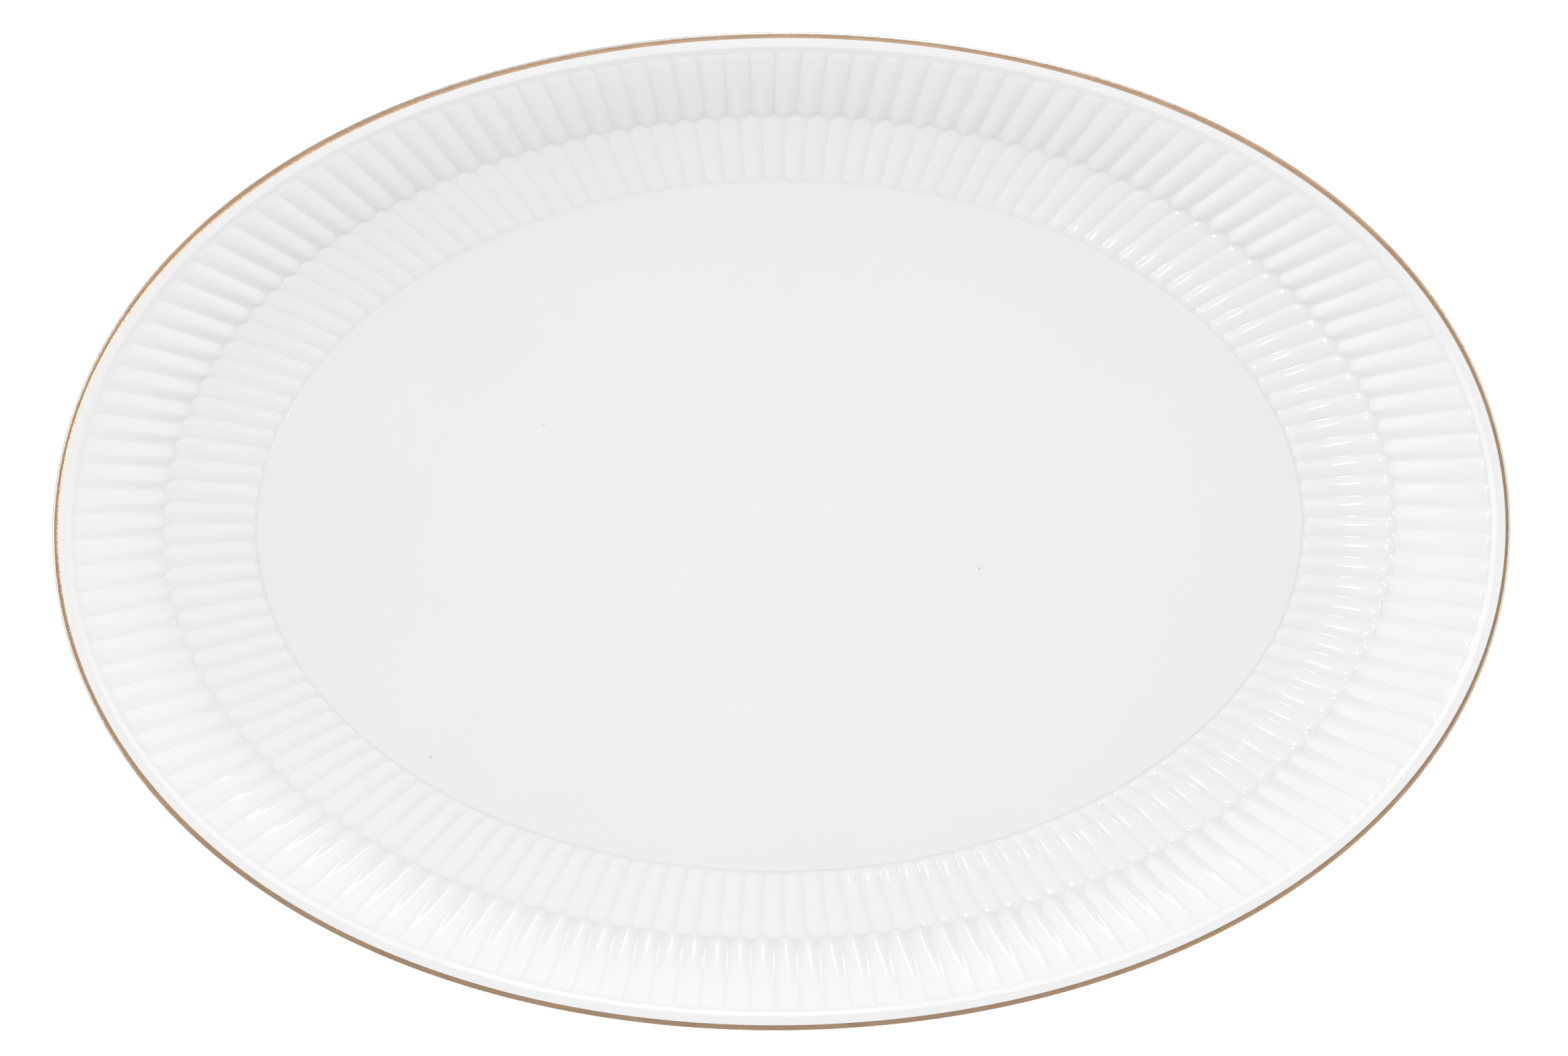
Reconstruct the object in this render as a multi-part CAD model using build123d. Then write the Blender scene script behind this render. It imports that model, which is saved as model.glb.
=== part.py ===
"""Oval china serving platter with two bands of moulded beads and a gilt edge.

Millimetres, +Z up, +X along the length. The origin is under the centre of the
platter, on the plane that its foot ring stands on.

The platter is one pressed porcelain body. A clear glaze coats it everywhere but on the
foot ring, and the strip of the coat on the edge of the lip is gilt. The surface is
described by oval lines that run round the platter, and by rings of patches between them.
"""
import math
import os
from dataclasses import dataclass, replace

import numpy as np
from build123d import *

# Outline of the lip
LENGTH = 360.0
WIDTH = 246.8
RIM_FULLNESS = 0.0092  # how far the outline swells past an ellipse, between its axes
WALL_FULLNESS = 0.0065

# Plan of the rings, as half lengths and half widths
WELL_HALF_LENGTH = 131.0
WELL_HALF_WIDTH = 86.5
JUNCTION_HALF_LENGTH = 153.8
JUNCTION_HALF_WIDTH = 102.8
LIP_WIDTH = 4.7  # from the ends of the outer beads to the edge
CREST_INSET = 3.6  # from the crest line of the lip to the edge
GOLD_WIDTH = 1.5  # from the inner edge of the gold to the edge
GOLD_UNDER_WIDTH = 1.1

# Heights above the table
RECESS_HEIGHT = 2.6
WELL_HEIGHT = 7.0
VALLEY_HEIGHT = 6.8
JUNCTION_HEIGHT = 11.5
BEAD_END_HEIGHT = 26.9
LIP_HEIGHT = 28.0
EDGE_HEIGHT = 27.0
EDGE_UNDER_HEIGHT = 25.9

# Beads
BEADS_PER_BAND = 146
INNER_RELIEF = 0.6
OUTER_RELIEF = 0.5
VALLEY_WIDTH = 0.4  # slope from the well's crisp edge down to the valley round it
INNER_TIP_GAP = 0.4  # between the valley and the tips of the inner beads
INNER_TIP_ROUND = 1.8
ZIGZAG = 0.6  # how far the two bands interlock, each side of their common line
LAND_WIDTH = 0.3  # flat line between the two bands

# Foot ring and underside
FOOT_HALF_LENGTH = 127.5
FOOT_HALF_WIDTH = 82.7
FOOT_THICKNESS = 3.4
FOOT_CHAMFER = 0.4
GLAZE_END_HEIGHT = 0.9
WALL_BASE_SPREAD = 5.5  # from the foot ring to where the wall starts
WALL_BASE_HEIGHT = 3.4
UNDER_LIP_HEIGHT = 24.0
UNDER_JUNCTION_SPREAD = 2.2
UNDER_JUNCTION_HEIGHT = 8.1
RECESS_FILLET = 1.6

# The glaze, and the strip of it that carries the gold
COAT_THICKNESS = 0.25

# Ways that the surface faces at a line, in degrees: 0 is up and 90 is away from the centre
UP = 0
OUT = 90
DOWN = 180
IN = -90
BEAD_END_FACING = -36
GOLD_END_FACING = 160
UNDER_LIP_FACING = 145
UNDER_JUNCTION_FACING = 148
WALL_BASE_FACING = 160

# Directions in which the surface leaves the first line of a ring and reaches the second:
# a share of the ring's width in plan, and a climb in millimetres
VALLEY_ENDS = ((1, -0.3), (1, -0.05))
INNER_BAND_ENDS = ((1, 1.2), (1, 7.6))
OUTER_BAND_ENDS = ((1, 17.5), (1, 12.0))
CREST_ENDS = ((1, 0.9), (1, 0.7))
EDGE_ENDS = ((1.3, 0), (0, -1.8))
UNDER_EDGE_ENDS = ((0, -1.6), (1.3, -0.5))
UNDER_LIP_ENDS = ((1, -1.2), (1, -2.6))
OUTER_WALL_ENDS = ((1, -12.0), (1, -16.0))
INNER_WALL_ENDS = ((1, -6.5), (1, -2.5))
WALL_BASE_ENDS = ((1.2, -1.2), (0, -3.2))
RECESS_ENDS = ((0, 2.4), (1.4, 0))
STRAIGHT_ENDS = ((1, 0), (1, 0))
FOOT_OUTER_ENDS = ((0, -1), (2, 0))
FOOT_INNER_ENDS = ((2, 0), (0, 1))

# How the surface is divided round the platter: number of columns, and where they start
# as a share of a column. Bead columns run from groove to groove.
INNER_BEADS = (BEADS_PER_BAND, -0.5)
OUTER_BEADS = (BEADS_PER_BAND, 0.0)
PLAIN = (24, 0.0)
ACROSS_DEGREE = 4
BEAD_DEGREE = 6
PLAIN_DEGREE = 3
EDGE_SPANS = 4  # patches from line to line where the surface turns over the edge

RIM_HALF_LENGTH = LENGTH / 2
RIM_HALF_WIDTH = WIDTH / 2
TABLE_STEPS = 14400  # of the table that spaces the beads evenly
END_ROUNDING = 6  # power that squares off the ends of the beads


def straight(share):
    """Offset of a line that runs straight past the beads."""
    return 0.0 * share


def inner_tips(share):
    """Rounded tips of the inner beads: share is 0 on their crowns and 1 in the grooves."""
    return INNER_TIP_GAP + INNER_TIP_ROUND * share**2


def inner_zigzag(share):
    """Outer ends of the inner beads, pushed out on their crowns."""
    return ZIGZAG * np.cos(math.pi * share)


def outer_zigzag(share):
    """Inner ends of the outer beads, which stand in the gaps of the inner ones."""
    return LAND_WIDTH - ZIGZAG * np.cos(math.pi * share)


@dataclass(frozen=True)
class Line:
    """An oval line round the platter.

    facing is the way that the surface faces there. offset moves the line outwards past
    the beads of its columns.
    """

    half_length: float
    half_width: float
    height: float
    facing: float
    fullness: float = 0.0
    offset: callable = straight

    def inset(self, depth):
        """The same line on a surface that lies deeper."""
        sideways = depth * math.sin(math.radians(self.facing))
        down = depth * math.cos(math.radians(self.facing))
        return self.spread(-sideways, self.height - down, self.facing)

    def spread(self, distance, height, facing):
        """A line at this distance outside this one."""
        return replace(
            self,
            half_length=self.half_length + distance,
            half_width=self.half_width + distance,
            height=height,
            facing=facing,
        )

    def points(self, turns, columns):
        """Points of the line at these shares of a turn, as an array of x, y, z."""
        angles = angles_at(turns)
        swell = 1 + self.fullness * np.sin(2 * angles) ** 2
        step = self.offset(crown_distance(turns, columns))
        outward_x, outward_y = outward(angles)
        x = self.half_length * np.cos(angles) * swell + step * outward_x
        y = self.half_width * np.sin(angles) * swell + step * outward_y
        return np.stack([x, y, np.full_like(x, self.height)], axis=-1)


def outward(angles):
    """Unit vectors across the outline, in plan."""
    x = WIDTH * np.cos(angles)
    y = LENGTH * np.sin(angles)
    size = np.hypot(x, y)
    return x / size, y / size


def angles_at(turns):
    """Angles that space the beads evenly along the middle of the two bands."""
    angles = np.linspace(0, 2 * math.pi, TABLE_STEPS + 1)
    half_length = (WELL_HALF_LENGTH + RIM_HALF_LENGTH) / 2
    half_width = (WELL_HALF_WIDTH + RIM_HALF_WIDTH) / 2
    steps = np.hypot(half_length * np.diff(np.cos(angles)), half_width * np.diff(np.sin(angles)))
    lengths = np.concatenate([[0], np.cumsum(steps)])
    return np.interp(np.mod(turns, 1), lengths / lengths[-1], angles)


def crown_distance(turns, columns):
    """0 in the middle of a column and 1 at its sides."""
    count, start = columns
    position = np.asarray(turns) * count - start - 0.5
    return 2 * np.abs(position - np.round(position))


@dataclass(frozen=True)
class Ring:
    """A ring of patches from one line to the next, with this many spans between them."""

    start: Line
    end: Line
    ends: tuple = STRAIGHT_ENDS
    columns: tuple = PLAIN
    relief: float = 0.0
    spans: int = 1

    def inset(self, depth):
        return replace(self, start=self.start.inset(depth), end=self.end.inset(depth))

    def points(self, turns, shares):
        """Surface points, as an array over shares, turns and x, y, z."""
        start = self.start.points(turns, self.columns)[None]
        end = self.end.points(turns, self.columns)[None]
        width = (end - start) * [1, 1, 0]
        up = np.array([0.0, 0.0, 1.0])
        leave, arrive = [width * along + up * climb for along, climb in self.ends]
        s = np.asarray(shares)[:, None, None]
        surface = start * (1 - s) ** 2 * (1 + 2 * s) + end * s**2 * (3 - 2 * s)
        surface = surface + leave * s * (1 - s) ** 2 - arrive * s**2 * (1 - s)
        if self.relief:
            across = crown_distance(turns, self.columns)[None, :, None]
            lift = self.relief * (1 - across**2) * (1 - (2 * s - 1) ** END_ROUNDING)
            run = np.hypot(width[..., 0], width[..., 1])[..., None]
            climb = (end - start)[..., 2:]
            surface = surface + lift * (up * run - width / run * climb) / np.hypot(run, climb)
        return surface


def interpolation(degree):
    """Matrix that turns evenly spaced points into Bezier control points."""
    shares = np.arange(degree + 1) / degree
    rows = [
        [math.comb(degree, i) * s**i * (1 - s) ** (degree - i) for i in range(degree + 1)]
        for s in shares
    ]
    return np.linalg.inv(rows)


def column_turns(column, columns):
    count, start = columns
    return (column + start + np.arange(ACROSS_DEGREE + 1) / ACROSS_DEGREE) / count


def ring_faces(ring):
    degree = BEAD_DEGREE if ring.relief else PLAIN_DEGREE
    along = interpolation(degree)
    across = interpolation(ACROSS_DEGREE)
    faces = []
    for column in range(ring.columns[0]):
        for span in range(ring.spans):
            shares = (span + np.arange(degree + 1) / degree) / ring.spans
            samples = ring.points(column_turns(column, ring.columns), shares)
            net = np.einsum("ij,jkc,lk->ilc", along, samples, across)
            faces.append(Face.make_bezier_surface([[tuple(p) for p in row] for row in net]))
    return faces


def line_wire(line, columns):
    across = interpolation(ACROSS_DEGREE)
    edges = []
    for column in range(columns[0]):
        controls = across @ line.points(column_turns(column, columns), columns)
        edges.append(Edge.make_bezier(*[tuple(p) for p in controls]))
    return Wire(edges)


def flat_face(outer, outer_columns=PLAIN, inner=None, inner_columns=PLAIN):
    """Flat face inside one line, or between two lines at the same height."""
    holes = [line_wire(inner, inner_columns)] if inner else []
    return Face(line_wire(outer, outer_columns), holes)


# Lines of the finished surface, from the well over the lip to the recess in the foot ring.
# A line that flat faces meet faces straight up or down.
well_edge = Line(WELL_HALF_LENGTH, WELL_HALF_WIDTH, WELL_HEIGHT, UP)
valley = well_edge.spread(VALLEY_WIDTH, VALLEY_HEIGHT, UP)
inner_bead_tips = replace(valley, offset=inner_tips)
junction = Line(JUNCTION_HALF_LENGTH, JUNCTION_HALF_WIDTH, JUNCTION_HEIGHT, UP, WALL_FULLNESS)
inner_bead_ends = replace(junction, offset=inner_zigzag)
outer_bead_tips = replace(junction, offset=outer_zigzag)
edge = Line(RIM_HALF_LENGTH, RIM_HALF_WIDTH, EDGE_HEIGHT, OUT, RIM_FULLNESS)
outer_bead_ends = edge.spread(-LIP_WIDTH, BEAD_END_HEIGHT, BEAD_END_FACING)
crest = edge.spread(-CREST_INSET, LIP_HEIGHT, UP)
gold_start = edge.spread(-GOLD_WIDTH, LIP_HEIGHT, UP)
gold_end = edge.spread(-GOLD_UNDER_WIDTH, EDGE_UNDER_HEIGHT, GOLD_END_FACING)
under_lip = edge.spread(-LIP_WIDTH, UNDER_LIP_HEIGHT, UNDER_LIP_FACING)
under_junction = junction.spread(UNDER_JUNCTION_SPREAD, UNDER_JUNCTION_HEIGHT, UNDER_JUNCTION_FACING)
foot_glaze_end = Line(FOOT_HALF_LENGTH, FOOT_HALF_WIDTH, GLAZE_END_HEIGHT, OUT)
wall_base = foot_glaze_end.spread(WALL_BASE_SPREAD, WALL_BASE_HEIGHT, WALL_BASE_FACING)
recess_glaze_end = foot_glaze_end.spread(-FOOT_THICKNESS, GLAZE_END_HEIGHT, IN)
recess_edge = recess_glaze_end.spread(-RECESS_FILLET, RECESS_HEIGHT, DOWN)

# Rings of the finished surface
face_rings = [
    Ring(well_edge, valley, VALLEY_ENDS),
    Ring(inner_bead_tips, inner_bead_ends, INNER_BAND_ENDS, INNER_BEADS, INNER_RELIEF),
    Ring(outer_bead_tips, outer_bead_ends, OUTER_BAND_ENDS, OUTER_BEADS, OUTER_RELIEF),
    Ring(outer_bead_ends, crest, CREST_ENDS, OUTER_BEADS),
]
gilt_rings = [
    Ring(gold_start, edge, EDGE_ENDS, spans=EDGE_SPANS),
    Ring(edge, gold_end, UNDER_EDGE_ENDS, spans=EDGE_SPANS),
]
back_rings = [
    Ring(gold_end, under_lip, UNDER_LIP_ENDS),
    Ring(under_lip, under_junction, OUTER_WALL_ENDS),
    Ring(under_junction, wall_base, INNER_WALL_ENDS),
    Ring(wall_base, foot_glaze_end, WALL_BASE_ENDS),
]
recess_ring = Ring(recess_glaze_end, recess_edge, RECESS_ENDS)


def ring_surface(rings, depth):
    """The faces of these rings, this deep under the finished surface."""
    return [face for ring in rings for face in ring_faces(ring.inset(depth))]


def face_surface(depth):
    """All faces of the upper side, from the well out to the gold."""
    faces = [
        flat_face(well_edge.inset(depth)),
        flat_face(inner_bead_tips.inset(depth), INNER_BEADS, valley.inset(depth)),
        flat_face(outer_bead_tips.inset(depth), OUTER_BEADS, inner_bead_ends.inset(depth), INNER_BEADS),
        flat_face(gold_start.inset(depth), PLAIN, crest.inset(depth), OUTER_BEADS),
    ]
    return faces + ring_surface(face_rings, depth)


def recess_surface(depth):
    return ring_surface([recess_ring], depth) + [flat_face(recess_edge.inset(depth))]


def coat_wall(line):
    """Wall through the coat, where one coat meets the next."""
    return ring_faces(Ring(line, line.inset(COAT_THICKNESS)))


def coat_end(line):
    """Flat end of the glaze, where it was wiped off the foot ring."""
    lines = sorted([line, line.inset(COAT_THICKNESS)], key=lambda candidate: candidate.half_length)
    return [flat_face(lines[1], inner=lines[0])]


def solid_of(faces):
    return Solid(Shell(faces))


def make_porcelain_body():
    """The fired body, with the bare foot ring that the glaze stops short of."""
    sole_outer = foot_glaze_end.spread(-COAT_THICKNESS - FOOT_CHAMFER, 0, DOWN)
    sole_inner = recess_glaze_end.spread(COAT_THICKNESS + FOOT_CHAMFER, 0, DOWN)
    foot_outer = foot_glaze_end.inset(COAT_THICKNESS)
    foot_inner = recess_glaze_end.inset(COAT_THICKNESS)
    faces = face_surface(COAT_THICKNESS) + recess_surface(COAT_THICKNESS)
    faces += ring_surface(gilt_rings + back_rings, COAT_THICKNESS)
    faces += ring_faces(Ring(foot_outer, sole_outer, FOOT_OUTER_ENDS))
    faces += ring_faces(Ring(sole_inner, foot_inner, FOOT_INNER_ENDS))
    faces.append(flat_face(sole_outer, inner=sole_inner))
    return solid_of(faces)


def make_face_glaze():
    return solid_of(face_surface(0) + face_surface(COAT_THICKNESS) + coat_wall(gold_start))


def make_back_glaze():
    faces = ring_surface(back_rings, 0) + ring_surface(back_rings, COAT_THICKNESS)
    return solid_of(faces + coat_wall(gold_end) + coat_end(foot_glaze_end))


def make_recess_glaze():
    return solid_of(recess_surface(0) + recess_surface(COAT_THICKNESS) + coat_end(recess_glaze_end))


def make_gold_rim_band():
    """The strip of the coat that carries the gold, round the edge of the lip."""
    faces = ring_surface(gilt_rings, 0) + ring_surface(gilt_rings, COAT_THICKNESS)
    return solid_of(faces + coat_wall(gold_start) + coat_wall(gold_end))


def main():
    parts = {
        "porcelain_body": make_porcelain_body(),
        "face_glaze": make_face_glaze(),
        "back_glaze": make_back_glaze(),
        "recess_glaze": make_recess_glaze(),
        "gold_rim_band": make_gold_rim_band(),
    }
    os.makedirs("parts", exist_ok=True)
    for name, solid in parts.items():
        box = solid.bounding_box()
        print(name, "valid" if solid.is_valid else "INVALID", f"{solid.volume:.0f} mm3", box.size)
        export_step(solid, f"parts/{name}.step")


main()
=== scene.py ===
"""Looks of the oval china serving platter: glazed porcelain, gilt edge and bare foot ring."""
import math
from dataclasses import dataclass, replace

import bpy
import numpy as np
from mathutils import Matrix, Vector


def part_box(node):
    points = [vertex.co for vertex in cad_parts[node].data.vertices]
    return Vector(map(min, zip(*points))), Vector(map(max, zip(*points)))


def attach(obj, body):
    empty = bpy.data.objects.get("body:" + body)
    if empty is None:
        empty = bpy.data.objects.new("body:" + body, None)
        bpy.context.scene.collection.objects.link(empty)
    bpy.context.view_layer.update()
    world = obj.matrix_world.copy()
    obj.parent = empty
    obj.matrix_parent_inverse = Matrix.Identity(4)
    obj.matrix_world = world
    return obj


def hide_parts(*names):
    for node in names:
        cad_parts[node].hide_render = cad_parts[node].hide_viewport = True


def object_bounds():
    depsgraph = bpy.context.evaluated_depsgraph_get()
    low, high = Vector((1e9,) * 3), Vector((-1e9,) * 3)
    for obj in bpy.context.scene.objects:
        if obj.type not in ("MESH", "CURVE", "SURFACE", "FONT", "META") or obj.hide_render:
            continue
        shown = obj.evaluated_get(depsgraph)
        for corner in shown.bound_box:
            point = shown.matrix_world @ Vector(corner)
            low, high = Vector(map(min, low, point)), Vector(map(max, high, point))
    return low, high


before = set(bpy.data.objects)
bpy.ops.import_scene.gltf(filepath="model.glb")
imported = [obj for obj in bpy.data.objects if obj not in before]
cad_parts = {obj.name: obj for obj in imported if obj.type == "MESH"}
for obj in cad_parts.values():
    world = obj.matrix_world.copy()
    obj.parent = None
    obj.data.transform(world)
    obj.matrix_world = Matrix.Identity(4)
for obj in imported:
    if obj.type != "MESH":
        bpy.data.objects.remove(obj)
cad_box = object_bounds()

METRES = 0.001  # sizes and places are in millimetres until a mesh or a material takes them
UP = np.array([0.0, 0.0, 1.0])
PLAN = np.array([1.0, 1.0, 0.0])  # leaves the height out of a direction


def millimetres(metres):
    return round(metres / METRES, 1)


# From the frame: the outline, and the heights where the gold and the glaze end
LENGTH = millimetres(2 * cad_box[1].x)
WIDTH = millimetres(2 * cad_box[1].y)
LIP_HEIGHT = millimetres(cad_box[1].z)
EDGE_UNDER_HEIGHT = millimetres(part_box("gold_rim_band")[0].z)
GLAZE_END_HEIGHT = millimetres(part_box("back_glaze")[0].z)

# Oval lines as (half length, half width), and how far the outer ones swell past an ellipse
RIM_HALF = (LENGTH / 2, WIDTH / 2)
WELL_HALF = (131.0, 86.5)
JUNCTION_HALF = (153.8, 102.8)
FOOT_HALF = (127.5, 82.7)
RIM_FULLNESS = 0.0092
WALL_FULLNESS = 0.0065

# Widths in plan, and the thickness of the glaze
LIP_WIDTH = 4.7
CREST_INSET = 3.6
GOLD_WIDTH = 1.5
GOLD_UNDER_WIDTH = 1.1
VALLEY_WIDTH = 0.4
WALL_BASE_SPREAD = 5.5
UNDER_JUNCTION_SPREAD = 2.2
FOOT_THICKNESS = 3.4
FOOT_CHAMFER = 0.4
RECESS_FILLET = 1.6
GLAZE = 0.25

# Heights above the table
RECESS_HEIGHT = 2.6
WALL_BASE_HEIGHT = 3.4
VALLEY_HEIGHT = 6.8
WELL_HEIGHT = 7.0
UNDER_JUNCTION_HEIGHT = 8.1
JUNCTION_HEIGHT = 11.5
UNDER_LIP_HEIGHT = 24.0
BEAD_END_HEIGHT = 26.9
EDGE_HEIGHT = 27.0

# Beads. Their tips, their zigzag line and their rounded ends are drawn finer than in the CAD
BEADS = 146
INNER_SHIFT = 0.0  # the beads of the two bands are half a bead apart
OUTER_SHIFT = 0.5
INNER_RELIEF = 0.6
OUTER_RELIEF = 0.5
INNER_TIP_GAP = 0.05  # between the valley and the tips of the inner beads
ZIGZAG = 0.38  # how far the two bands interlock, each side of their common line
LAND_WIDTH = 0.12  # flat line between the two bands
INNER_ENDS = ((2.1, 2.0, 1.0), (2.5, 2.0, 0.84))  # (radius, power, depth) of a bead's inner and outer end
OUTER_ENDS = ((2.6, 2.0, 0.84), (1.8, 3.0, 1.0))
GROOVE_START = 0.78  # share of a half bead where its crown turns into the groove, which is painted darker for pooled glaze and shade

# Gold painted pale as a reflection of the bright surroundings, at both ends of the platter and along the
# side towards +Y
REFLECTION_START = 0.22  # share of the way across the gold where the painted reflection starts
REFLECTION_RAMP = 0.1  # share of the way across over which it comes on
END_REFLECTION_POWER = 8
SIDE_REFLECTION_POWER = 6

# Pitch of the meshes
FINE_COLUMNS = 14  # columns of points for each bead
PLAIN_COLUMNS = 6
COLUMN_EASING = 0.5
ANGLE_STEPS = 14400
HUB_SHARE = 0.06  # how near the first row of a flat disc comes to its centre
WELL_SHARES = (*np.linspace(HUB_SHARE, 0.96, 16), 0.98, 0.99, 0.995, 0.9985, 1.0)
RECESS_SHARES = (1.0, 0.998, 0.99, *np.linspace(0.96, HUB_SHARE, 14))
CREST_SHARES = (0, 0.05, 0.15, 0.5, 1)
SOLE_SHARES = (0, 0.05, 0.15, 0.5, 0.85, 0.95, 1)
COAT_SHARES = (0, 1)
EVEN = 0.0
EASED = 0.6


@dataclass(frozen=True)
class Section:
    """How a ring runs from one line to the next.

    leave and arrive are its directions at the two lines, as a share of its width and a climb.
    rows is its number of rows of faces, and easing draws the rows towards the two lines.
    """

    leave: tuple
    arrive: tuple
    rows: int
    easing: float = EASED

    def shares(self):
        s = np.arange(self.rows + 1) / self.rows
        return s - self.easing * np.sin(2 * math.pi * s) / (2 * math.pi)


WELL_TURN = Section((1, -0.3), (1, -0.05), 5, EVEN)
INNER_WALL = Section((1, 1.2), (1, 7.6), 38)
OUTER_WALL = Section((1, 17.5), (1, 12.0), 46)
LIP_RISE = Section((1, 0.9), (1, 0.7), 8)
GOLD_TOP = Section((1.3, 0), (0, -1.8), 12)
GOLD_UNDER = Section((0, -1.6), (1.3, -0.5), 10)
UNDER_LIP = Section((1, -1.2), (1, -2.6), 8)
UNDER_OUTER_WALL = Section((1, -12.0), (1, -16.0), 26, EVEN)
UNDER_INNER_WALL = Section((1, -6.5), (1, -2.5), 18, EVEN)
UNDER_BASE = Section((1.2, -1.2), (0, -3.2), 10)
FOOT_OUTER_CORNER = Section((0, -1), (2, 0), 8)
FOOT_INNER_CORNER = Section((2, 0), (0, 1), 8)
RECESS_CORNER = Section((0, 2.4), (1.4, 0), 10)


# ---------------------------------------------------------------- points on the platter
def bead_turns(per_bead):
    """Shares of a turn, closer together at the grooves of both bands."""
    u = np.arange(BEADS * per_bead) / per_bead
    return (u - COLUMN_EASING * np.sin(4 * math.pi * u) / (4 * math.pi) - 0.5) / BEADS


def angles_at(turns):
    """Angles at shares of a turn, evenly spaced along the oval midway between well and rim."""
    angles = np.linspace(0, 2 * math.pi, ANGLE_STEPS + 1)
    half_length = (WELL_HALF[0] + RIM_HALF[0]) / 2
    half_width = (WELL_HALF[1] + RIM_HALF[1]) / 2
    steps = np.hypot(half_length * np.diff(np.cos(angles)), half_width * np.diff(np.sin(angles)))
    lengths = np.concatenate([[0], np.cumsum(steps)])
    return np.interp(np.mod(turns, 1), lengths / lengths[-1], angles)


def outward(angles):
    """Unit directions square to an ellipse as long and as wide as the rim."""
    x, y = WIDTH * np.cos(angles), LENGTH * np.sin(angles)
    size = np.hypot(x, y)
    return x / size, y / size


def share_of(turns, shift):
    """0 on the crown of a bead and 1 in its grooves; shift is that of the band."""
    position = turns * BEADS - shift
    return 2 * np.abs(position - np.round(position))


@dataclass(frozen=True)
class Line:
    """An oval line round the platter. offset moves it outwards by the share of a bead."""

    half: tuple
    height: float
    fullness: float = 0.0
    offset: callable = None

    def spread(self, distance, height):
        return replace(self, half=(self.half[0] + distance, self.half[1] + distance), height=height)

    def points(self, turns, shift=0.0):
        angles = angles_at(turns)
        swell = 1 + self.fullness * np.sin(2 * angles) ** 2
        step = self.offset(share_of(turns, shift)) if self.offset else 0.0
        ox, oy = outward(angles)
        x = self.half[0] * np.cos(angles) * swell + step * ox
        y = self.half[1] * np.sin(angles) * swell + step * oy
        return np.stack([x, y, np.full_like(x, self.height)], axis=-1)


def inner_zigzag(share):
    return ZIGZAG * np.cos(math.pi * share)


def outer_zigzag(share):
    return LAND_WIDTH - ZIGZAG * np.cos(math.pi * share)


well_edge = Line(WELL_HALF, WELL_HEIGHT)
valley = well_edge.spread(VALLEY_WIDTH, VALLEY_HEIGHT)
inner_bead_tips = valley.spread(INNER_TIP_GAP, VALLEY_HEIGHT)
junction = Line(JUNCTION_HALF, JUNCTION_HEIGHT, WALL_FULLNESS)
inner_bead_ends = replace(junction, offset=inner_zigzag)
outer_bead_tips = replace(junction, offset=outer_zigzag)
edge = Line(RIM_HALF, EDGE_HEIGHT, RIM_FULLNESS)
outer_bead_ends = edge.spread(-LIP_WIDTH, BEAD_END_HEIGHT)
crest = edge.spread(-CREST_INSET, LIP_HEIGHT)
gold_start = edge.spread(-GOLD_WIDTH, LIP_HEIGHT)
gold_end = edge.spread(-GOLD_UNDER_WIDTH, EDGE_UNDER_HEIGHT)
under_lip = edge.spread(-LIP_WIDTH, UNDER_LIP_HEIGHT)
under_junction = junction.spread(UNDER_JUNCTION_SPREAD, UNDER_JUNCTION_HEIGHT)
foot_glaze_end = Line(FOOT_HALF, GLAZE_END_HEIGHT)
wall_base = foot_glaze_end.spread(WALL_BASE_SPREAD, WALL_BASE_HEIGHT)
recess_glaze_end = foot_glaze_end.spread(-FOOT_THICKNESS, GLAZE_END_HEIGHT)
recess_edge = recess_glaze_end.spread(-RECESS_FILLET, RECESS_HEIGHT)
foot_outer = foot_glaze_end.spread(-GLAZE, GLAZE_END_HEIGHT)
foot_inner = recess_glaze_end.spread(GLAZE, GLAZE_END_HEIGHT)
sole_outer = foot_glaze_end.spread(-GLAZE - FOOT_CHAMFER, 0)
sole_inner = recess_glaze_end.spread(GLAZE + FOOT_CHAMFER, 0)


# ---------------------------------------------------------------- rows of points
def ring(start, end, section, turns, shift=0.0):
    """Rows of points along a smooth section from one line to the next."""
    a, b = start.points(turns, shift)[None], end.points(turns, shift)[None]
    width = (b - a) * PLAN
    s = section.shares()[:, None, None]
    rows = a * (1 - s) ** 2 * (1 + 2 * s) + b * s**2 * (3 - 2 * s)
    rows = rows + (width * section.leave[0] + UP * section.leave[1]) * s * (1 - s) ** 2
    return rows - (width * section.arrive[0] + UP * section.arrive[1]) * s**2 * (1 - s)


def flat(start, end, shares, turns):
    """Rows of points along straight lines from one line to the next."""
    a, b = start.points(turns)[None], end.points(turns)[None]
    s = np.asarray(shares)[:, None, None]
    return a * (1 - s) + b * s


def disc(outline, shares, turns):
    """Rows of points on the flat inside a line, at shares of the way out from its centre."""
    s = np.asarray(shares)[:, None, None]
    return s * (outline.points(turns)[None] * PLAN) + [0, 0, outline.height]


def crown(share):
    """Height across a bead: a round crown that runs into a rounded groove, from 1 down to 0."""
    turn = GROOVE_START
    beyond = np.maximum(share - turn, 0)
    groove = 1 - turn**2 - 2 * turn * beyond + turn / (1 - turn) * beyond**2
    height = np.where(share < turn, 1 - share**2, groove)
    return (height - (1 - turn)) / turn


def bead_shares(start, end, shares, turns, shift, ends):
    """For every point of a band, 0 on the crown of a bead and 1 in the groove round it."""
    a, b = start.points(turns, shift)[None], end.points(turns, shift)[None]
    s = shares[:, None]
    size = np.linalg.norm(b - a, axis=-1)
    across = share_of(turns, shift)[None]
    share = across
    for distance, (radius, power, depth) in zip((s * size, (1 - s) * size), ends):
        along = depth * np.maximum(1 - distance / radius, 0)
        share = np.maximum(share, (across**power + along**power) ** (1 / power))
    return np.minimum(share, 1)


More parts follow.
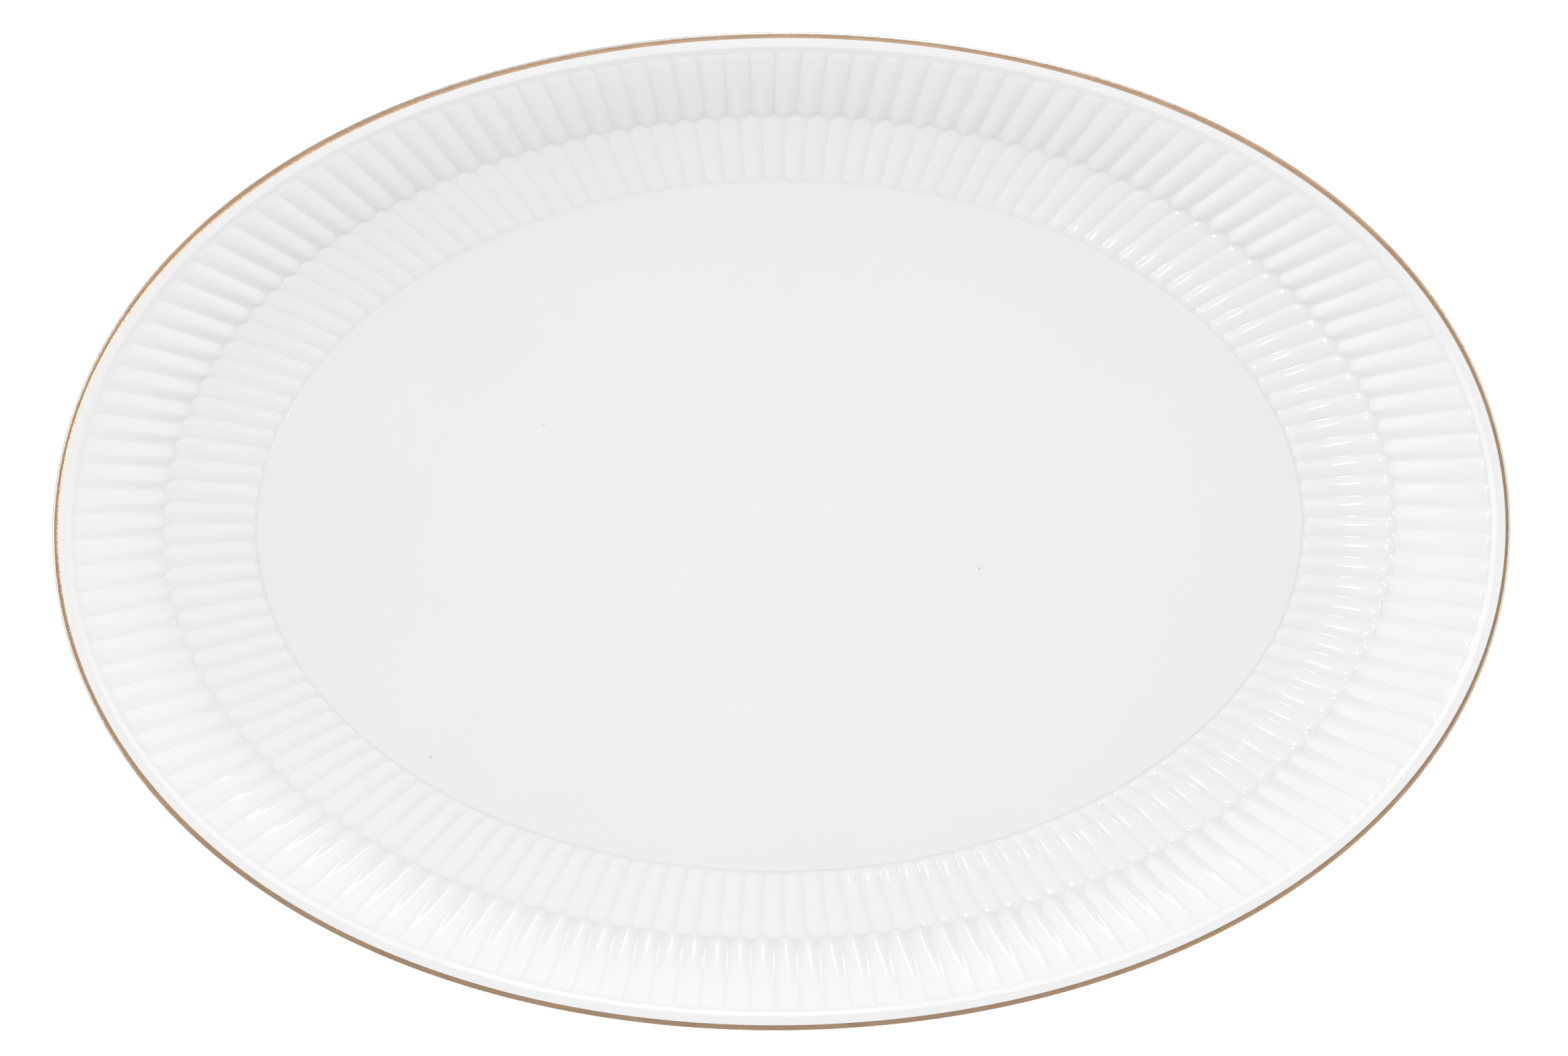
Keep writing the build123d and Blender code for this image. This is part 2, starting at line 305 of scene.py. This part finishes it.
def raised(rows, start, end, turns, shift, relief, share):
    """The rows of a band, lifted off the wall into beads."""
    chord = end.points(turns, shift)[None] - start.points(turns, shift)[None]
    run = np.hypot(chord[..., 0], chord[..., 1])[..., None]
    climb = chord[..., 2:]
    size = np.hypot(run, climb)
    across = chord * PLAN / run
    return rows + relief * crown(share)[..., None] * (UP * run - across * climb) / size


def bead_band(start, end, section, turns, shift, relief, ends):
    """The rows of a band of beads, and for every point its share of the way from crown to groove."""
    share = bead_shares(start, end, section.shares(), turns, shift, ends)
    wall = ring(start, end, section, turns, shift)
    return raised(wall, start, end, turns, shift, relief, share), share


def join(*parts):
    """Stacks rows of points, leaving out the first row of each part that repeats the last."""
    rows = [parts[0]] + [part[1:] for part in parts[1:]]
    return np.concatenate(rows)


# ---------------------------------------------------------------- meshes
def add_object(name, data):
    made = bpy.data.objects.new(name, data)
    bpy.context.scene.collection.objects.link(made)
    return made


def shell_mesh(name, rows, up=True, centre=None):
    """A smooth mesh over closed rows of points; centre closes the first row with a fan."""
    count, columns = rows.shape[:2]
    points = rows.reshape(-1, 3)
    index = np.arange(count * columns).reshape(count, columns)
    nxt = np.roll(index, -1, axis=1)
    quads = np.stack([index[:-1], index[1:], nxt[1:], nxt[:-1]], axis=-1).reshape(-1, 4)
    if not up:
        quads = quads[:, ::-1]
    faces = quads.tolist()
    if centre is not None:
        points = np.vstack([points, centre])
        hub = len(points) - 1
        fan = np.stack([np.full(columns, hub), index[0], nxt[0]], axis=-1)
        faces += (fan if up else fan[:, ::-1]).tolist()
    mesh = bpy.data.meshes.new(name)
    mesh.from_pydata((points * METRES).tolist(), [], faces)
    mesh.shade_smooth()
    return add_object(name, mesh)


def paint(piece, name, values):
    """Stores a number for every vertex, for the materials to read."""
    layer = piece.data.attributes.new(name, "FLOAT", "POINT")
    padded = np.zeros(len(piece.data.vertices), np.float32)
    padded[: values.size] = values.ravel()
    layer.data.foreach_set("value", padded)


# ---------------------------------------------------------------- nodes
WHOLE = (0, 1)
MOST_NOISE = (0.3, 0.7)  # where most of the values of a noise lie
MIX_COLOURS = (6, 7)  # the colour sockets of a Mix node, whose sockets share their names
MIX_RESULT = 2


def node(tree, kind, **settings):
    made = tree.nodes.new(kind)
    for key, value in settings.items():
        setattr(made, key, value)
    return made


def new_material(name):
    material = bpy.data.materials.new(name)
    material.use_nodes = True
    tree = material.node_tree
    tree.nodes.clear()
    out = node(tree, "ShaderNodeOutputMaterial")
    shader = node(tree, "ShaderNodeBsdfPrincipled")
    tree.links.new(shader.outputs[0], out.inputs["Surface"])
    return material, tree, shader


def place_in(tree):
    return node(tree, "ShaderNodeTexCoord").outputs["Object"]


def painted(tree, name):
    return node(tree, "ShaderNodeAttribute", attribute_name=name).outputs["Fac"]


@dataclass(frozen=True)
class Noise:
    """The size of a noise's largest marks, its layers of finer marks and how strong those are."""

    size: float
    detail: float
    roughness: float = 0.5


def noise(tree, where, kind):
    made = node(tree, "ShaderNodeTexNoise")
    made.inputs["Scale"].default_value = 1 / METRES / kind.size
    made.inputs["Detail"].default_value = kind.detail
    made.inputs["Roughness"].default_value = kind.roughness
    tree.links.new(where, made.inputs["Vector"])
    return made.outputs["Fac"]


def remap(tree, value, source, target):
    made = node(tree, "ShaderNodeMapRange")
    tree.links.new(value, made.inputs["Value"])
    for key, number in zip(("From Min", "From Max", "To Min", "To Max"), (*source, *target)):
        made.inputs[key].default_value = number
    return made.outputs["Result"]


def arithmetic(tree, operation, first, second=0.0):
    made = node(tree, "ShaderNodeMath", operation=operation)
    for socket, value in zip(made.inputs, (first, second)):
        if isinstance(value, (int, float)):
            socket.default_value = value
        else:
            tree.links.new(value, socket)
    return made.outputs[0]


def blend_colour(tree, factor, first, second):
    made = node(tree, "ShaderNodeMix", data_type="RGBA")
    tree.links.new(factor, made.inputs["Factor"])
    for index, value in zip(MIX_COLOURS, (first, second)):
        socket = made.inputs[index]
        if isinstance(value, tuple):
            socket.default_value = (*value, 1.0)
        else:
            tree.links.new(value, socket)
    return made.outputs[MIX_RESULT]


def bump(tree, height, relief, normal=None):
    """relief is the depth of the bumps and their strength; normal is a surface already bumped."""
    depth, strength = relief
    made = node(tree, "ShaderNodeBump")
    made.inputs["Distance"].default_value = depth * METRES
    made.inputs["Strength"].default_value = strength
    tree.links.new(height, made.inputs["Height"])
    if normal is not None:
        tree.links.new(normal, made.inputs["Normal"])
    return made.outputs["Normal"]


# ---------------------------------------------------------------- glazed porcelain
PORCELAIN = (0.80, 0.798, 0.798)
CLOUD_SHADE = 0.988
CLOUD = Noise(38.0, 3.0)
# darker colour painted into the grooves: partly thicker pooled glaze, partly painted shade
GROOVE_GLAZE_AND_SHADE = (0.765, 0.76, 0.75)
GLAZE_IOR = 1.5
GLAZE_ROUGHNESS = (0.06, 0.12)
GLAZE_GRAIN = Noise(1.6, 3.0, 0.6)
GLAZE_GRAIN_RELIEF = (0.02, 0.1)
RIPPLE = Noise(14.0, 2.0)
RIPPLE_RELIEF = (0.25, 0.12)
SPECKS = [(-59.8, 26.4, 0.3), (49.4, -10.3, 0.4), (-88.5, -56.9, 0.4)]  # x, y and radius, in the well
SPECK_COLOUR = (0.50, 0.40, 0.30)
SPECK_CORE = 0.4  # share of its radius where a speck has its full strength
SPECK_STRENGTH = 0.8


def speck_cover(tree, where, x, y, radius):
    gap = node(tree, "ShaderNodeVectorMath", operation="DISTANCE")
    tree.links.new(where, gap.inputs[0])
    gap.inputs[1].default_value = tuple(c * METRES for c in (x, y, WELL_HEIGHT))
    reach = (radius * METRES, SPECK_CORE * radius * METRES)
    return remap(tree, gap.outputs["Value"], reach, (0, SPECK_STRENGTH))


def glazed_porcelain():
    material, tree, shader = new_material("glazed_porcelain")
    link = tree.links.new
    where = place_in(tree)
    cloud = remap(tree, noise(tree, where, CLOUD), MOST_NOISE, WHOLE)
    colour = blend_colour(tree, cloud, PORCELAIN, tuple(c * CLOUD_SHADE for c in PORCELAIN))
    # grooves painted darker: partly pooled glaze, partly painted shade
    pooled_and_shaded = remap(tree, painted(tree, "pool_and_shade"), (GROOVE_START, 1.0), WHOLE)
    colour = blend_colour(tree, pooled_and_shaded, colour, GROOVE_GLAZE_AND_SHADE)
    for speck in SPECKS:
        colour = blend_colour(tree, speck_cover(tree, where, *speck), colour, SPECK_COLOUR)
    link(colour, shader.inputs["Base Color"])
    grain = noise(tree, where, GLAZE_GRAIN)
    link(remap(tree, grain, MOST_NOISE, GLAZE_ROUGHNESS), shader.inputs["Roughness"])
    rippled = bump(tree, noise(tree, where, RIPPLE), RIPPLE_RELIEF)
    link(bump(tree, grain, GLAZE_GRAIN_RELIEF, rippled), shader.inputs["Normal"])
    shader.inputs["IOR"].default_value = GLAZE_IOR
    return material


# ---------------------------------------------------------------- gold lustre
GOLD = (0.46, 0.315, 0.21)
DEEP_GOLD = (0.41, 0.275, 0.18)
# pale colour painted on the outer part of the gold as a reflection of the bright surroundings
REFLECTED_GOLD = (0.58, 0.55, 0.51)
BRUSH = Noise(6.0, 4.0, 0.6)
BRUSH_RANGE = (0.35, 0.65)
REFLECTION_PATCHES = Noise(1.2, 3.0, 0.7)
REFLECTION_RANGE = (0.75, 1.1)  # painted reflection plus noise, from plain gold to the pale painted reflection
GOLD_GRAIN = Noise(0.8, 3.0, 0.6)
GOLD_GRAIN_RELIEF = (0.02, 0.3)
GOLD_ROUGHNESS = (0.2, 0.34)


def gold_lustre():
    material, tree, shader = new_material("gold_lustre")
    link = tree.links.new
    where = place_in(tree)
    brush = remap(tree, noise(tree, where, BRUSH), BRUSH_RANGE, WHOLE)
    colour = blend_colour(tree, brush, GOLD, DEEP_GOLD)
    # painted reflection: the outer part of the gold turns pale at the ends and the +Y side, broken into
    # patches by noise
    patchy_reflection = arithmetic(tree, "ADD", painted(tree, "painted_reflection"), noise(tree, where, REFLECTION_PATCHES))
    reflection_share = remap(tree, patchy_reflection, REFLECTION_RANGE, WHOLE)
    link(blend_colour(tree, reflection_share, colour, REFLECTED_GOLD), shader.inputs["Base Color"])
    grain = noise(tree, where, GOLD_GRAIN)
    link(remap(tree, grain, MOST_NOISE, GOLD_ROUGHNESS), shader.inputs["Roughness"])
    link(bump(tree, grain, GOLD_GRAIN_RELIEF), shader.inputs["Normal"])
    shader.inputs["Metallic"].default_value = 1.0
    return material


# ---------------------------------------------------------------- bare porcelain
BISQUE = (0.70, 0.685, 0.65)
STAINED_BISQUE = (0.60, 0.575, 0.53)
DARK_GRAIN = (0.48, 0.45, 0.41)
STAIN = Noise(18.0, 3.0)
STAIN_RANGE = (0.4, 0.7)
BISQUE_GRAIN = Noise(0.5, 5.0, 0.7)
DARK_GRAIN_RANGE = (0.55, 0.75)
DARK_GRAIN_STRENGTH = 0.5
BISQUE_GRAIN_RELIEF = (0.08, 0.6)
BISQUE_ROUGHNESS = (0.75, 0.92)


def bisque():
    material, tree, shader = new_material("bisque_porcelain")
    link = tree.links.new
    where = place_in(tree)
    grain = noise(tree, where, BISQUE_GRAIN)
    stain = remap(tree, noise(tree, where, STAIN), STAIN_RANGE, WHOLE)
    colour = blend_colour(tree, stain, BISQUE, STAINED_BISQUE)
    dark = remap(tree, grain, DARK_GRAIN_RANGE, (0, DARK_GRAIN_STRENGTH))
    link(blend_colour(tree, dark, colour, DARK_GRAIN), shader.inputs["Base Color"])
    link(remap(tree, grain, MOST_NOISE, BISQUE_ROUGHNESS), shader.inputs["Roughness"])
    link(bump(tree, grain, BISQUE_GRAIN_RELIEF), shader.inputs["Normal"])
    return material


# ---------------------------------------------------------------- pieces
glaze_look = glazed_porcelain()
gold_look = gold_lustre()
bisque_look = bisque()
fine_turns = bead_turns(FINE_COLUMNS)
plain_turns = bead_turns(PLAIN_COLUMNS)


def finish_piece(piece, material, slot, *nodes):
    piece.data.materials.append(material)
    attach(piece, "root")
    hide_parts(*nodes)


def make_well():
    rows = join(disc(well_edge, WELL_SHARES, fine_turns), ring(well_edge, valley, WELL_TURN, fine_turns))
    well = shell_mesh("glazed_well", rows, centre=[0, 0, WELL_HEIGHT])
    finish_piece(well, glaze_look, "white_glaze", "face_glaze")


def make_bead_bands():
    """Both bands, the valley inside them and the flat line between them."""
    inner_rows, inner_share = bead_band(
        inner_bead_tips, inner_bead_ends, INNER_WALL, fine_turns, INNER_SHIFT, INNER_RELIEF, INNER_ENDS
    )
    outer_rows, outer_share = bead_band(
        outer_bead_tips, outer_bead_ends, OUTER_WALL, fine_turns, OUTER_SHIFT, OUTER_RELIEF, OUTER_ENDS
    )
    valley_rows = np.stack([valley.points(fine_turns), inner_rows[0]])
    land_rows = np.stack([inner_rows[-1], outer_rows[0]])
    inner_band = shell_mesh("inner_bead_band", join(valley_rows, inner_rows, land_rows))
    groove = np.ones((1, fine_turns.size))
    # painted shade and pooled glaze in the grooves, the valley and along the line between the bands
    paint(inner_band, "pool_and_shade", np.concatenate([groove, inner_share, groove]))
    finish_piece(inner_band, glaze_look, "white_glaze", "face_glaze")
    outer_band = shell_mesh("outer_bead_band", outer_rows)
    # painted shade and pooled glaze in the grooves
    paint(outer_band, "pool_and_shade", outer_share)
    finish_piece(outer_band, glaze_look, "white_glaze", "face_glaze")


def make_lip():
    rows = join(
        ring(outer_bead_ends, crest, LIP_RISE, fine_turns, OUTER_SHIFT),
        flat(crest, gold_start, CREST_SHARES, fine_turns),
    )
    lip = shell_mesh("plain_lip", rows)
    finish_piece(lip, glaze_look, "white_glaze", "face_glaze")


def make_gold():
    rows = join(
        ring(gold_start, edge, GOLD_TOP, fine_turns),
        ring(edge, gold_end, GOLD_UNDER, fine_turns),
    )
    gold = shell_mesh("gold_rim_line", rows)
    around = angles_at(fine_turns)
    # the gold is painted pale where it would reflect the bright surroundings: both ends and the +Y side
    end_reflection = np.abs(np.cos(around)) ** END_REFLECTION_POWER
    side_reflection = np.maximum(np.sin(around), 0) ** SIDE_REFLECTION_POWER
    across = np.clip((np.linspace(0, 1, len(rows)) - REFLECTION_START) / REFLECTION_RAMP, 0, 1)
    paint(gold, "painted_reflection", across[:, None] * np.maximum(end_reflection, side_reflection)[None])
    finish_piece(gold, gold_look, "gold", "gold_rim_band")


def make_underside():
    rows = join(
        ring(gold_end, under_lip, UNDER_LIP, plain_turns),
        ring(under_lip, under_junction, UNDER_OUTER_WALL, plain_turns),
        ring(under_junction, wall_base, UNDER_INNER_WALL, plain_turns),
        ring(wall_base, foot_glaze_end, UNDER_BASE, plain_turns),
        flat(foot_glaze_end, foot_outer, COAT_SHARES, plain_turns),
    )
    underside = shell_mesh("glazed_underside", rows)
    finish_piece(underside, glaze_look, "white_glaze", "back_glaze")


def make_foot_ring():
    rows = join(
        ring(foot_outer, sole_outer, FOOT_OUTER_CORNER, plain_turns),
        flat(sole_outer, sole_inner, SOLE_SHARES, plain_turns),
        ring(sole_inner, foot_inner, FOOT_INNER_CORNER, plain_turns),
    )
    foot = shell_mesh("bare_foot_ring", rows)
    finish_piece(foot, bisque_look, "bisque_porcelain", "porcelain_body")


def make_recess():
    rows = join(
        flat(foot_inner, recess_glaze_end, COAT_SHARES, plain_turns),
        ring(recess_glaze_end, recess_edge, RECESS_CORNER, plain_turns),
        disc(recess_edge, RECESS_SHARES, plain_turns),
    )
    recess = shell_mesh("glazed_recess", rows[::-1], up=False, centre=[0, 0, RECESS_HEIGHT])
    finish_piece(recess, glaze_look, "white_glaze", "recess_glaze")


make_well()
make_bead_bands()
make_lip()
make_gold()
make_underside()
make_foot_ring()
make_recess()

# ---------------------------------------------------------------- floor
FLOOR_HALF = 6.0  # metres
FLOOR_COLOUR = (0.93, 0.93, 0.93, 1.0)
FLOOR_ROUGHNESS = 0.9
FLOOR_GLOW = 0.6  # keeps the floor white in the picture, without lighting the platter from below
WHITE = (1.0, 1.0, 1.0, 1.0)


def make_floor():
    corners = [(x * FLOOR_HALF, y * FLOOR_HALF, 0) for x, y in ((-1, -1), (1, -1), (1, 1), (-1, 1))]
    mesh = bpy.data.meshes.new("floor")
    mesh.from_pydata(corners, [], [(0, 1, 2, 3)])
    floor = add_object("floor", mesh)
    material, tree, shader = new_material("pale_floor")
    shader.inputs["Base Color"].default_value = FLOOR_COLOUR
    shader.inputs["Roughness"].default_value = FLOOR_ROUGHNESS
    shader.inputs["Emission Color"].default_value = WHITE
    seen = node(tree, "ShaderNodeLightPath").outputs["Is Camera Ray"]
    tree.links.new(arithmetic(tree, "MULTIPLY", seen, FLOOR_GLOW), shader.inputs["Emission Strength"])
    mesh.materials.append(material)


make_floor()


# ---------------------------------------------------------------- light
@dataclass(frozen=True)
class Patch:
    """A soft-edged part of the surroundings. Angles are in degrees; bearings turn from +X towards +Y."""

    bearing: float
    half_width: float
    elevation: float
    half_height: float
    softness: float
    strength: float


AMBIENT = 0.67
PATCHES = [
    Patch(88, 100, 4, 14, 9, 0.42),  # low glow over the +Y half
    Patch(90, 100, 0, 4, 4, 0.35),  # brighter along its horizon
    Patch(80, 10, 3, 3, 2, 6.0),  # window
    Patch(12, 40, 18, 9, 10, 0.55),  # low on the +X side
    Patch(180, 35, 14, 8, 12, 0.75),  # low on the -X side
    Patch(200, 14, 8, 8, 6, 0.6),  # low on the -X side, a little towards -Y
    Patch(270, 50, 14, 8, 14, 0.12),  # low on the -Y side
    Patch(-35, 25, 14, 8, 12, 0.35),  # low between +X and -Y
    Patch(90, 40, 40, 8, 15, 0.38),  # halfway up on the +Y side
    Patch(190, 40, 52, 8, 12, 0.15),  # halfway up on the -X side
    Patch(270, 45, 45, 10, 15, 0.2),  # halfway up on the -Y side
    Patch(90, 80, 75, 12, 15, 0.65),  # nearly overhead on the +Y side
    Patch(170, 8, 74, 1.5, 1.5, 50.0),  # small lamp
]


def sky_angles(tree):
    """The bearing as a share of a turn, and the elevation in degrees, of each direction."""
    axes = node(tree, "ShaderNodeSeparateXYZ")
    tree.links.new(node(tree, "ShaderNodeTexCoord").outputs["Generated"], axes.inputs[0])
    turn = arithmetic(tree, "ARCTAN2", axes.outputs["Y"], axes.outputs["X"])
    climb = arithmetic(tree, "ARCSINE", axes.outputs["Z"])
    bearing = arithmetic(tree, "DIVIDE", turn, 2 * math.pi)
    elevation = arithmetic(tree, "MULTIPLY", climb, 180 / math.pi)
    return bearing, elevation


def fade(tree, distance, half_size, softness):
    return remap(tree, distance, (half_size, half_size + softness), (1, 0))


def patch_light(tree, patch, bearing, elevation):
    turned = arithmetic(tree, "FRACT", arithmetic(tree, "SUBTRACT", bearing, patch.bearing / 360 - 0.5))
    aside = arithmetic(tree, "ABSOLUTE", arithmetic(tree, "SUBTRACT", turned, 0.5))
    above = arithmetic(tree, "ABSOLUTE", arithmetic(tree, "SUBTRACT", elevation, patch.elevation))
    across = fade(tree, arithmetic(tree, "MULTIPLY", aside, 360), patch.half_width, patch.softness)
    upward = fade(tree, above, patch.half_height, patch.softness)
    return arithmetic(tree, "MULTIPLY", arithmetic(tree, "MULTIPLY", across, upward), patch.strength)


def make_world():
    world = bpy.data.worlds.new("studio")
    bpy.context.scene.world = world
    world.use_nodes = True
    tree = world.node_tree
    tree.nodes.clear()
    background = node(tree, "ShaderNodeBackground")
    tree.links.new(background.outputs[0], node(tree, "ShaderNodeOutputWorld").inputs["Surface"])
    bearing, elevation = sky_angles(tree)
    brightness = AMBIENT
    for patch in PATCHES:
        brightness = arithmetic(tree, "ADD", brightness, patch_light(tree, patch, bearing, elevation))
    background.inputs["Color"].default_value = WHITE
    tree.links.new(brightness, background.inputs["Strength"])


make_world()

# ---------------------------------------------------------------- camera
CAMERA_PLACE = Vector((-0.0744, 0.1010, 1.2))  # metres
CAMERA_TARGET = Vector((-0.00031, 0.00086, 0.015))
CAMERA_LENS = 109.94
SENSOR_WIDTH = 36.0


def make_camera():
    """Looks down at the platter, with +Y upwards in the picture."""
    data = bpy.data.cameras.new("camera")
    data.lens = CAMERA_LENS
    data.sensor_width = SENSOR_WIDTH
    camera = add_object("camera", data)
    back = (CAMERA_PLACE - CAMERA_TARGET).normalized()
    right = Vector((0, 1, 0)).cross(back).normalized()
    turn = Matrix((right, back.cross(right), back)).transposed().to_4x4()
    camera.matrix_world = Matrix.Translation(CAMERA_PLACE) @ turn
    bpy.context.scene.camera = camera
    bpy.context.scene.view_settings.view_transform = "Standard"


make_camera()
